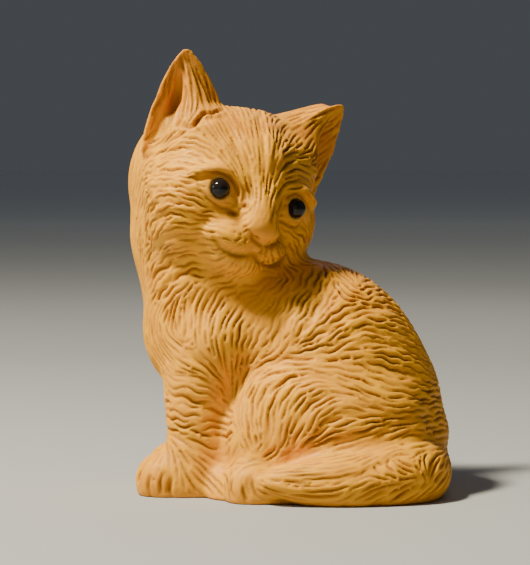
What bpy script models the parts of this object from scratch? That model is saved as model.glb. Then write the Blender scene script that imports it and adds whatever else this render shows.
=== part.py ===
"""A seated kitten figurine that looks back over its shoulder, with two black glass bead eyes.

The kitten's chest faces -X, its tail lies along the -Y side, and the base is the plane Z = 0.
The body is built up like clay, fused, smoothed, carved with strokes and thinned to a light solid.
"""

import math

import bmesh
import bpy
from mathutils import Euler, Matrix, Vector
from mathutils.bvhtree import BVHTree
from mathutils.kdtree import KDTree

# Driving dimensions, in metres
HEIGHT = 0.135
BEAD_DIAMETER = 0.006
BEAD_CLEARANCE = 0.0003

# Every shape below is given in units; from the base plane to the tip of the ear there are 135
UNIT = HEIGHT / 135

# How deep the modelled figure is sunk into the base plane, which cuts it flat
SINK = 3.0

# Where the head sits and how it is turned, in units and degrees
HEAD_CENTRE = (-20.0, -4.0, 93.5 - SINK)
HEAD_YAW = 28.0
HEAD_PITCH = 6.5
HEAD_ROLL = 16.5

# The right bead's centre in the head's frame; the left one is its mirror image
BEAD_CENTRE = (13.3, -18.8, 1.6)

# How far the line of the eyes slants against the head, in degrees, and how much lower it sits
EYE_SLANT = 3.2
EYE_DROP = 0.35

# The ears: width at the root, depth of the back, hollow of the front, and how far both sit to one side
EAR_WIDTH = 27.4
EAR_DEPTH = 8.5
EAR_HOLLOW = 3.8
EAR_SHIFT = 0.9

# How finely the clay is fused and how often it is smoothed after each fusing
FUSE_VOXEL = 1.1
FUSE_ROUNDS = 36
FINE_VOXEL = 0.8
MIDDLE_ROUNDS = 7
FINE_ROUNDS = 2
BODY_TRIANGLES = 8700

# The gouge for the locks of fur, and the share of its strength that is left at a stroke's ends
LOCK_RADIUS = 1.9
LOCK_DEPTH = 0.8
GOUGE_STEP = 0.5
END_SHARE = 0.06

# Radius and depth of the gouge for each other feature
LID_CUT = (1.5, 1.5)
MOUTH_CUT = (1.5, 1.3)
NOSE_CUT = (1.2, 0.9)
PHILTRUM_CUT = (1.2, 0.5)
EAR_BOWL_CUT = (3.4, 0.8)
EAR_FOLD_CUT = (1.4, 1.0)
EAR_SLIT_CUT = (1.7, 1.3)
TOE_CUT = (1.4, 1.0)

# The direction in which the near side is looked at when locks are drawn on it, in degrees
DRAWING_TILT = 3.0

# Further than any point of the figure is from another
FAR_OFF = 200

# Locks as lines of (x, height) points, drawn as the near side is seen
HEAD_LOCKS = [
    [(-47, 107), (-50, 92), (-49, 76), (-46, 61)],
    [(-23, 103), (-32, 106), (-39, 105), (-46, 103)],
    [(-31, 99), (-38, 99), (-45, 99)],
    [(-30, 92), (-37, 95), (-43, 93), (-46, 88)],
    [(-21, 88), (-30, 89), (-39, 91), (-44, 86), (-45, 80)],
    [(-24, 84), (-36, 87), (-42, 84), (-44, 78)],
    [(-26, 110), (-33, 111), (-39, 108), (-45, 105)],
    [(-26, 78), (-35, 80), (-41, 78), (-44, 73)],
    [(-12, 92), (-13, 98), (-17, 107), (-22, 116)],
    [(-9, 94), (-9, 103), (-10, 113), (-11, 119)],
    [(-8, 92), (-6, 100), (-5, 107), (-2, 113)],
    [(-17, 101), (-20, 105), (-25, 110), (-28, 115)],
    [(-6, 96), (-4, 101), (1, 105)],
    [(6, 95), (6, 88), (6, 81)],
    [(-4, 82), (-2, 78), (0, 73)],
    [(-29, 74), (-37, 72), (-43, 67)],
    [(-26, 69), (-34, 69), (-39, 65), (-42, 61)],
]
NEAR_LOCKS = [
    [(-30, 64), (-32, 59), (-32, 52), (-34, 47)],
    [(-37, 64), (-42, 59), (-43, 52), (-39, 45), (-35, 41)],
    [(-25, 63), (-28, 56), (-27, 50)],
    [(-35, 48), (-29, 43), (-22, 38)],
    [(-37, 39), (-30, 38), (-23, 35)],
    [(-21, 49), (-20, 39), (-19, 28)],
    [(-39, 33), (-30, 31), (-21, 28)],
    [(-38, 22), (-30, 18), (-22, 11)],
    [(0, 61), (-4, 53), (-8, 46)],
    [(10, 66), (6, 58), (1, 51), (-2, 47)],
    [(-2, 46), (7, 51), (16, 57), (23, 59), (31, 58)],
    [(2, 46), (10, 47), (20, 53), (28, 51), (36, 49)],
    [(16, 47), (22, 49), (31, 48), (39, 44)],
    [(20, 43), (29, 40), (39, 38)],
    [(-16, 35), (-13, 39), (-6, 43), (6, 45), (14, 43)],
    [(-11, 32), (-2, 38), (8, 39), (17, 33), (29, 27), (41, 28)],
    [(-7, 14), (-8, 22), (-6, 30)],
    [(-2, 14), (0, 20), (1, 26), (6, 32), (13, 34), (22, 31)],
    [(0, 14), (5, 20), (10, 26), (19, 28), (29, 24)],
    [(3, 16), (12, 20), (22, 22)],
    [(24, 20), (28, 24), (36, 26), (43, 28)],
]
TAIL_LOCKS = [
    [(41, 17), (31, 16), (24, 13), (17, 10), (6, 9), (-6, 9)],
    [(45, 10), (36, 7), (29, 6), (17, 4)],
    [(42, 15), (40, 11), (41, 8)],
    [(21, 0), (28, 4), (35, 6)],
]
FAR_LOCKS = [
    [(-12, 114), (-18, 100), (-24, 86), (-27, 70)],
    [(-22, 116), (-28, 100), (-34, 84), (-36, 68)],
    [(-4, 108), (-10, 96), (-16, 84), (-18, 72)],
    [(-34, 112), (-40, 98), (-44, 82)],
]


def head_frame():
    """The head's own frame: x towards the far ear, y to the back of the skull, z to the crown."""
    turn = (
        Matrix.Rotation(math.radians(HEAD_YAW), 4, "Z")
        @ Matrix.Rotation(math.radians(HEAD_PITCH), 4, "X")
        @ Matrix.Rotation(math.radians(HEAD_ROLL), 4, "Y")
    )
    return Matrix.Translation(Vector(HEAD_CENTRE)) @ turn


HEAD = head_frame()
EYES = HEAD @ Matrix.Translation((0, 0, -EYE_DROP)) @ Matrix.Rotation(math.radians(-EYE_SLANT), 4, "Y")
BODY = Matrix.Translation((0, 0, -SINK))


def lump(clay, frame, centre, radii, turn=(0, 0, 0)):
    """An egg of clay pressed onto the figure, its turn in degrees."""
    if not hasattr(radii, "__len__"):
        radii = (radii,) * 3
    place = (
        frame
        @ Matrix.Translation(Vector(centre))
        @ Euler([math.radians(a) for a in turn]).to_matrix().to_4x4()
        @ Matrix.Diagonal((*radii, 1))
    )
    bmesh.ops.create_icosphere(clay, subdivisions=3, radius=1.0, matrix=place)


def through(points, t):
    """A point on the smooth curve through the points, t running from 0 to their count less one."""
    last = len(points) - 1
    i = min(int(t), last - 1)
    f = t - i
    a, b = points[max(i - 1, 0)], points[i]
    c, d = points[i + 1], points[min(i + 2, last)]
    return 0.5 * (
        2 * b + (c - a) * f + (2 * a - 5 * b + 4 * c - d) * f * f + (3 * b - a - 3 * c + d) * f ** 3
    )


def roll(clay, frame, stations, steps=6):
    """A tapering roll of clay through stations of (x, y, z, radius)."""
    stations = [Vector(s) for s in stations]
    for k in range((len(stations) - 1) * steps + 1):
        x, y, z, r = through(stations, k / steps)
        lump(clay, frame, (x, y, z), r)


def both(build, *args):
    """Builds a piece on the near side, -1, and its mirror image on the far side, 1."""
    for side in (-1, 1):
        build(side, *args)


def trunk(clay):
    roll(clay, BODY, [(-20, 0, 58, 19), (-6, 0, 52, 22), (8.5, 0, 45.6, 27.2), (17.5, 0, 29, 28.4)])
    lump(clay, BODY, (-26.5, 0, 53), (20.5, 20, 22))
    lump(clay, BODY, (16.5, 0, 20), (32, 28, 22))
    lump(clay, BODY, (-27.5, -3, 43), (15.4, 14, 9))
    lump(clay, BODY, (-14, 0, 20), (22, 17, 24))
    roll(clay, BODY, [(-26.3, 0, 58, 19.6), (-25.2, 2, 70, 22.6), (-26.6, 4, 82, 24.4)])
    lump(clay, BODY, (-30.5, 4, 97), (21, 21, 24))
    lump(clay, BODY, (-31.6, 2, 82), (17, 17, 18))


def thigh(side, clay):
    lump(clay, BODY, (11, side * 18, 26), (30, 15, 22), turn=(0, 12, 0))
    lump(clay, BODY, (-6, side * 19, 20), (15, 12, 19))


def hind_foot(side, clay):
    roll(clay, BODY, [(8, side * 25, 6, 7), (-8, side * 26, 6.5, 8), (-13, side * 26, 7.5, 8.8)])
    lump(clay, BODY, (-19, side * 17, 5), (8, 9, 9))


def foreleg(side, clay):
    back = 1.0 + side
    roll(
        clay,
        BODY,
        [
            (-24 + back, side * 9, 50, 15),
            (-28.5 + back, side * 9.5, 34, 11.5),
            (-29 + back, side * 10, 20, 10),
            (-29.5 + back, side * 10.5, 8, 10),
            (-39.5 + back, side * 11, 7.5, 9.6),
        ],
    )


def tail(clay):
    roll(
        clay,
        BODY,
        [
            (34, 8, 11, 12),
            (37, -10, 10.5, 11.0),
            (33, -24, 10.5, 11),
            (18, -31, 9.5, 9.5),
            (4, -34, 9.5, 6.8),
            (-6, -35, 10, 4.2),
        ],
        steps=8,
    )


def skull(clay):
    lump(clay, HEAD, (0, 4, 3), (28, 26, 24))
    both(lambda s: lump(clay, HEAD, (s * 14, 1, 14), (13, 13, 11)))
    both(lambda s: lump(clay, HEAD, (s * 13.5, -4, -4), (15, 16, 14)))
    both(lambda s: lump(clay, HEAD, (s * 10, -2, -12), (15, 15, 13)))
    lump(clay, HEAD, (0, -11, 7), (14, 11, 14))
    lump(clay, HEAD, (5, 4, 18.2), (15, 12, 10.2))
    roll(clay, HEAD, [(0, -12, 12, 9), (0, -16, 3, 8.5), (0, -18, -6, 8.5)])
    lump(clay, HEAD, (0, -13, -12), (13, 12, 10))


def muzzle(clay):
    both(lambda s: lump(clay, HEAD, (s * 6.0, -18.9, -12.5), (8.6, 6.5, 4.8), turn=(0, s * -6, s * 14)))
    roll(clay, HEAD, [(0, -16.4, 6, 6.6), (0.3, -19.8, 0, 6.6), (0.6, -22.6, -5.0, 5.9)])
    lump(clay, HEAD, (0.9, -24.8, -7.0), (6.8, 3.9, 3.8))
    lump(clay, HEAD, (0, -16.8, -17.0), (9.5, 7.2, 5.6))


def brow(side, clay):
    """The fold of the upper lid."""
    roll(
        clay,
        EYES,
        [
            (side * 22.5, -12.4, 1.4, 1.5),
            (side * 20.0, -15.6, 4.8, 2.0),
            (side * 14.5, -18.0, 6.8, 2.2),
            (side * 9.5, -19.0, 5.2, 1.9),
            (side * 7.2, -19.4, 1.6, 1.5),
        ],
    )


def eye_opening(side, clay):
    """The opening between the lids, sunk behind the face."""
    lump(clay, EYES, (side * 14.7, -18.8, 0.4), (7.4, 6.0, 5.5), turn=(0, 0, side * 20))


def eyeball(side, clay):
    """The carved eyeball and the flesh in its inner corner."""
    lump(clay, EYES, (side * 13.5, -13.2, 0.2), (9.2, 6.7, 7.2), turn=(0, 0, side * 18))
    lump(clay, EYES, (side * 7.8, -17.4, -0.6), (3.0, 3.2, 4.4))


def ear(side, clay):
    """One ear: a leaf on a cone with a hollowed front, rooted in a fold of the crown."""
    tip = Vector((side * 29.4 + EAR_SHIFT, 0.5, 38.9))
    root = Vector((side * 17.5 + EAR_SHIFT, 1.5, 8.0))
    axis = tip - root
    mouth = Vector((side * 0.28, -0.96, 0.0)).normalized()
    across = axis.cross(mouth).normalized()
    behind = -(mouth - axis * (mouth.dot(axis) / axis.length_squared)).normalized()
    rows, back_columns, front_columns = 14, 12, 10
    rings = []
    for i in range(rows + 1):
        up = i / rows
        half = EAR_WIDTH / 2 * (1 - up ** 1.4) ** 0.8 + 1.2
        deep = EAR_DEPTH * (1 - up ** 1.2) + 0.9
        hollow = EAR_HOLLOW * (1 - up ** 1.5)
        centre = root + axis * up
        ring = []
        for j in range(back_columns):
            swing = math.pi * (j / back_columns - 0.5)
            ring.append(centre + across * (half * math.sin(swing)) + behind * (deep * math.cos(swing)))
        for j in range(front_columns):
            share = 1 - 2 * j / front_columns
            ring.append(centre + across * (half * share) + behind * (hollow * (1 - share ** 2)))
        rings.append([clay.verts.new(HEAD @ p) for p in ring])
    count = back_columns + front_columns
    for i in range(rows):
        for j in range(count):
            k = (j + 1) % count
            clay.faces.new((rings[i][j], rings[i][k], rings[i + 1][k], rings[i + 1][j]))
    clay.faces.new(rings[0])
    clay.faces.new(rings[-1])


def ear_flap(side, clay):
    """The thick inner half of the ear, whose edge overhangs the hollow."""
    roll(
        clay,
        HEAD,
        [
            (side * 25.6, 1.3, 33.0, 1.2),
            (side * 23.4, 0.6, 27.5, 2.1),
            (side * 22.2, -0.8, 22.5, 2.8),
            (side * 22.4, -2.4, 19.0, 2.8),
        ],
    )
    roll(
        clay,
        HEAD,
        [
            (side * 24.5, 1.7, 34.0, 1.2),
            (side * 21.0, 1.3, 29.5, 2.2),
            (side * 18.6, 0.2, 25.0, 2.7),
            (side * 17.6, -1.4, 21.0, 2.8),
        ],
    )


def ear_roots(clay):
    """The folds that run from the crown up the back of each ear; the far one stands higher."""
    roll(clay, HEAD, [(-10, 5, 15, 9.5), (-17, 6, 22, 6), (-23, 6, 29, 3)])
    roll(clay, HEAD, [(9, 4, 17.2, 9.2), (18, 5.5, 25.6, 6.2), (25.5, 5, 33, 3.6)])


def baked(obj):
    """Applies every modifier of an object."""
    graph = bpy.context.evaluated_depsgraph_get()
    mesh = bpy.data.meshes.new_from_object(obj.evaluated_get(graph))
    obj.modifiers.clear()
    obj.data = mesh


def fuse(obj, voxel, rounds):
    """Fuses overlapping lumps into one skin and smooths the joins."""
    remesh = obj.modifiers.new("fuse", "REMESH")
    remesh.mode = "VOXEL"
    remesh.voxel_size = voxel * UNIT
    smooth = obj.modifiers.new("smooth", "SMOOTH")
    smooth.factor = 0.5
    smooth.iterations = round(rounds)
    baked(obj)


def add_clay(obj, *builders):
    """Presses new clay onto the object's skin."""
    fresh = bmesh.new()
    for build in builders:
        build(fresh)
    bmesh.ops.recalc_face_normals(fresh, faces=fresh.faces)
    bmesh.ops.transform(fresh, matrix=Matrix.Scale(UNIT, 4), verts=fresh.verts)
    fresh.from_mesh(obj.data)
    fresh.to_mesh(obj.data)
    fresh.free()


def cut_away(obj, *builders):
    """Cuts shapes out of the object."""
    cutter = bpy.data.objects.new("cutter", bpy.data.meshes.new("cutter"))
    bpy.context.collection.objects.link(cutter)
    cutter.hide_render = True
    cutter.display_type = "WIRE"
    add_clay(cutter, *builders)
    difference = obj.modifiers.new("cut", "BOOLEAN")
    difference.object = cutter
    difference.operation = "DIFFERENCE"
    difference.solver = "EXACT"
    baked(obj)
    bpy.data.objects.remove(cutter)


def skin_of(obj):
    """The object's surface, ready to be asked for its nearest points."""
    return BVHTree.FromObject(obj, bpy.context.evaluated_depsgraph_get())


def drawn_on(skin, line, side):
    """A line of (x, height) points carried straight onto the near (-1) or the far (1) side."""
    tilt = math.radians(DRAWING_TILT)
    look = Vector((0, -side * math.cos(tilt), -math.sin(tilt)))
    up = Vector((0, -side * math.sin(tilt), math.cos(tilt)))
    points = []
    for x, height in line:
        start = BODY @ Vector((x, 0, 0)) + up * height - look * FAR_OFF
        hit = skin.ray_cast(start * UNIT, look)[0]
        if hit is not None:
            points.append(hit / UNIT)
    return points


def gouge(obj, lines, radius, depth):
    """Draws a round gouge along lines of points in units, lifting it towards both ends of each."""
    skin = skin_of(obj)
    marks = []
    for line in lines:
        line = [Vector(p) for p in line]
        if len(line) < 2:
            continue
        length = sum((b - a).length for a, b in zip(line, line[1:]))
        count = max(4, round(length / GOUGE_STEP))
        for k in range(count + 1):
            share = k / count
            spot = skin.find_nearest(through(line, share * (len(line) - 1)) * UNIT)[0]
            pressed = END_SHARE + (1 - 2 * END_SHARE) * share
            marks.append((spot, math.sqrt(math.sin(math.pi * pressed))))
    tree = KDTree(len(marks))
    for i, (spot, strength) in enumerate(marks):
        tree.insert(spot, i)
    tree.balance()
    mesh = obj.data
    moves = []
    for vertex in mesh.vertices:
        spot, i, distance = tree.find(vertex.co)
        share = distance / (radius * UNIT)
        if share < 1:
            moves.append((vertex, vertex.normal * (depth * UNIT * marks[i][1] * (1 - share * share) ** 2)))
    for vertex, move in moves:
        vertex.co -= move
    mesh.update()


def both_ways(frame, *lines):
    """Lines of the far half of the face in one of the head's frames, with their mirror images."""
    return [[frame @ Vector((side * x, y, z)) for x, y, z in line] for line in lines for side in (-1, 1)]


def carve_face(obj):
    """Upper lids, mouth, underside of the nose, philtrum and the hollow fronts of the ears."""
    lid = [(22.0, -15, 1.0), (19.0, -17.5, 4.0), (14.3, -20, 5.3), (9.8, -20.5, 4.2), (8.0, -20.5, 1.0)]
    gouge(obj, both_ways(EYES, lid), *LID_CUT)
    mouth = [(0.2, -26, -15.0), (3.6, -25.5, -16.8), (7.4, -24, -16.6), (10.8, -22, -14.8), (12.8, -20, -12.0)]
    gouge(obj, both_ways(HEAD, mouth), *MOUTH_CUT)
    nose = [(0, -27, -11.2), (4.2, -25.5, -10.6), (6.4, -24, -8.0), (6.2, -22.5, -5.0)]
    gouge(obj, both_ways(HEAD, nose), *NOSE_CUT)
    gouge(obj, both_ways(HEAD, [(0.1, -26.5, -11.2), (0.1, -26, -15.0)]), *PHILTRUM_CUT)
    gouge(obj, both_ways(HEAD, [(27.6, -3, 27), (26.8, -3, 20), (25.0, -3, 13)]), *EAR_BOWL_CUT)
    slit = [(26.9, 3, 32), (25.4, 4, 26), (25.0, 4, 20.5), (26.0, 1, 16.5)]
    gouge(obj, both_ways(HEAD, slit), *EAR_SLIT_CUT)
    gouge(obj, both_ways(HEAD, [(23.8, -5, 15.5), (17.5, -7, 18.5), (12.5, -7, 22.0)]), *EAR_FOLD_CUT)


def toe_lines(side):
    """Creases between the toes of one fore paw and one hind foot."""
    back = 1.0 + side
    lines = []
    for offset in (-4.5, 0.0, 4.5):
        y = side * 11 + offset
        lines.append([(-42 + back, y, 13), (-47.5 + back, y, 8), (-47.5 + back, y, 2)])
        y = side * 26 + offset
        lines.append([(-16, y, 15), (-22, y, 9), (-22, y, 2)])
    lines.append([(-38, side * 20.5, 8), (-37.5, side * 21, 2)])
    lines.append([(-14, side * 35, 9), (-13.5, side * 35, 2)])
    return lines


def carve_fur(obj):
    skin = skin_of(obj)
    near = [drawn_on(skin, line, -1) for line in HEAD_LOCKS + NEAR_LOCKS + TAIL_LOCKS]
    far = [drawn_on(skin, line, 1) for line in NEAR_LOCKS + FAR_LOCKS]
    gouge(obj, near + far, LOCK_RADIUS, LOCK_DEPTH)


def thin_out(obj, triangles):
    """Reduces a dense skin to about so many triangles, keeping them where the form bends."""
    decimate = obj.modifiers.new("thin", "DECIMATE")
    decimate.ratio = triangles / (2 * len(obj.data.polygons))
    baked(obj)


def below_ground(clay):
    """A slab under the base plane, wide enough to cut the whole underside flat."""
    bmesh.ops.create_cube(clay, size=FAR_OFF, matrix=Matrix.Translation((0, 0, -FAR_OFF / 2)))


def bead_centre(side):
    x, y, z = BEAD_CENTRE
    return EYES @ Vector((side * x, y, z)) * UNIT


def bead_hole(side, clay):
    radius = (BEAD_DIAMETER / 2 + BEAD_CLEARANCE) / UNIT
    place = Matrix.Translation(bead_centre(side) / UNIT)
    bmesh.ops.create_icosphere(clay, subdivisions=3, radius=radius, matrix=place)


def make_bead(name, side, material):
    ball = bmesh.new()
    place = Matrix.Translation(bead_centre(side))
    bmesh.ops.create_icosphere(ball, subdivisions=3, radius=BEAD_DIAMETER / 2, matrix=place)
    add_object(name, ball, material)


def add_object(name, shape, material):
    """Turns a bmesh into a named object with smooth shading."""
    mesh = bpy.data.meshes.new(name)
    shape.to_mesh(mesh)
    shape.free()
    mesh.materials.append(material)
    mesh.shade_smooth()
    obj = bpy.data.objects.new(name, mesh)
    bpy.context.collection.objects.link(obj)
    return obj


def finish(name, colour, roughness, metallic=0.0):
    material = bpy.data.materials.new(name)
    material.use_nodes = True
    shader = material.node_tree.nodes["Principled BSDF"]
    shader.inputs["Base Color"].default_value = (*colour, 1)
    shader.inputs["Roughness"].default_value = roughness
    shader.inputs["Metallic"].default_value = metallic
    return material


def main():
    for obj in list(bpy.data.objects):
        bpy.data.objects.remove(obj)
    body = add_object("kitten_body", bmesh.new(), finish("carved_body", (0.72, 0.42, 0.14), 0.45))
    add_clay(body, trunk, lambda c: both(thigh, c), lambda c: both(foreleg, c), skull)
    fuse(body, FUSE_VOXEL, FUSE_ROUNDS)
    add_clay(body, tail, muzzle, lambda c: both(hind_foot, c), lambda c: both(brow, c))
    add_clay(body, lambda c: both(ear, c), lambda c: both(ear_flap, c), ear_roots)
    fuse(body, FINE_VOXEL, MIDDLE_ROUNDS)
    cut_away(body, lambda c: both(eye_opening, c))
    add_clay(body, lambda c: both(eyeball, c))
    fuse(body, FINE_VOXEL, FINE_ROUNDS)
    carve_face(body)
    gouge(body, toe_lines(-1) + toe_lines(1), *TOE_CUT)
    carve_fur(body)
    thin_out(body, BODY_TRIANGLES)
    cut_away(body, below_ground)
    cut_away(body, lambda c: both(bead_hole, c))
    black_glass = finish("black_glass", (0.006, 0.006, 0.008), 0.06)
    make_bead("bead_eye_near", -1, black_glass)
    make_bead("bead_eye_far", 1, black_glass)
    body.data.shade_smooth()


main()
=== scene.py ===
"""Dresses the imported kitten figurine: carved fur, polished bead eyes, waxy finish and a studio."""

import math

import bpy
import numpy as np
from bpy.props import FloatProperty, FloatVectorProperty, IntProperty, PointerProperty
from mathutils import Matrix, Vector
from mathutils.bvhtree import BVHTree
from mathutils.kdtree import KDTree


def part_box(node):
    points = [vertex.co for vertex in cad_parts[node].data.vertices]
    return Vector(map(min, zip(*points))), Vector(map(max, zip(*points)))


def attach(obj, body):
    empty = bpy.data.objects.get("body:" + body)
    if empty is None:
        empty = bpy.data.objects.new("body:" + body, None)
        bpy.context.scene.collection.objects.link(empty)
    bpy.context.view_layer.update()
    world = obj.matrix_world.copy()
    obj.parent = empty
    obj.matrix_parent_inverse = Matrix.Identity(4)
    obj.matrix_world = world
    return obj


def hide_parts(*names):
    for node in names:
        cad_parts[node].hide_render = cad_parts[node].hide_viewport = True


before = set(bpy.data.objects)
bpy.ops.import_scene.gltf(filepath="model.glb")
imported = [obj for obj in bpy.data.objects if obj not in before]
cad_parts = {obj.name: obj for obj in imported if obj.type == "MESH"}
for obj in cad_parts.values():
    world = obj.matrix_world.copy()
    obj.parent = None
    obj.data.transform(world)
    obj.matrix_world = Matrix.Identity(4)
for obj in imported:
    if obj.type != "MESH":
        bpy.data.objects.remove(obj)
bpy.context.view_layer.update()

bl_info = {
    "name": "Carved Kitten Figurine",
    "version": (1, 0, 0),
    "blender": (4, 5, 0),
    "location": "View3D > Sidebar > Kitten",
    "description": "Combs and carves the fur of a seated kitten figurine and sets its bead eyes",
    "category": "Add Mesh",
}

MM = 0.001
BODY_NODE = "kitten_body"
BEAD_NODES = ("bead_eye_near", "bead_eye_far")

# The camera's view: width and height in pixels and one pixel's size at the kitten in mm, its lens
# and sensor in mm, its rise in degrees, and the place that it aims at in mm
VIEW_WIDTH = 530
VIEW_HEIGHT = 565
PIXEL = 0.306
LENS = 150.0
SENSOR = 36.0
CAMERA_RISE = 3.0
AIM = (-8.9, 0.0, 63.6)

# The head's own frame: centre in mm, turns in degrees
HEAD_CENTRE = (-20.0, -4.0, 90.5)
HEAD_YAW = 28.0
HEAD_PITCH = 6.5
HEAD_ROLL = 16.5

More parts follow.
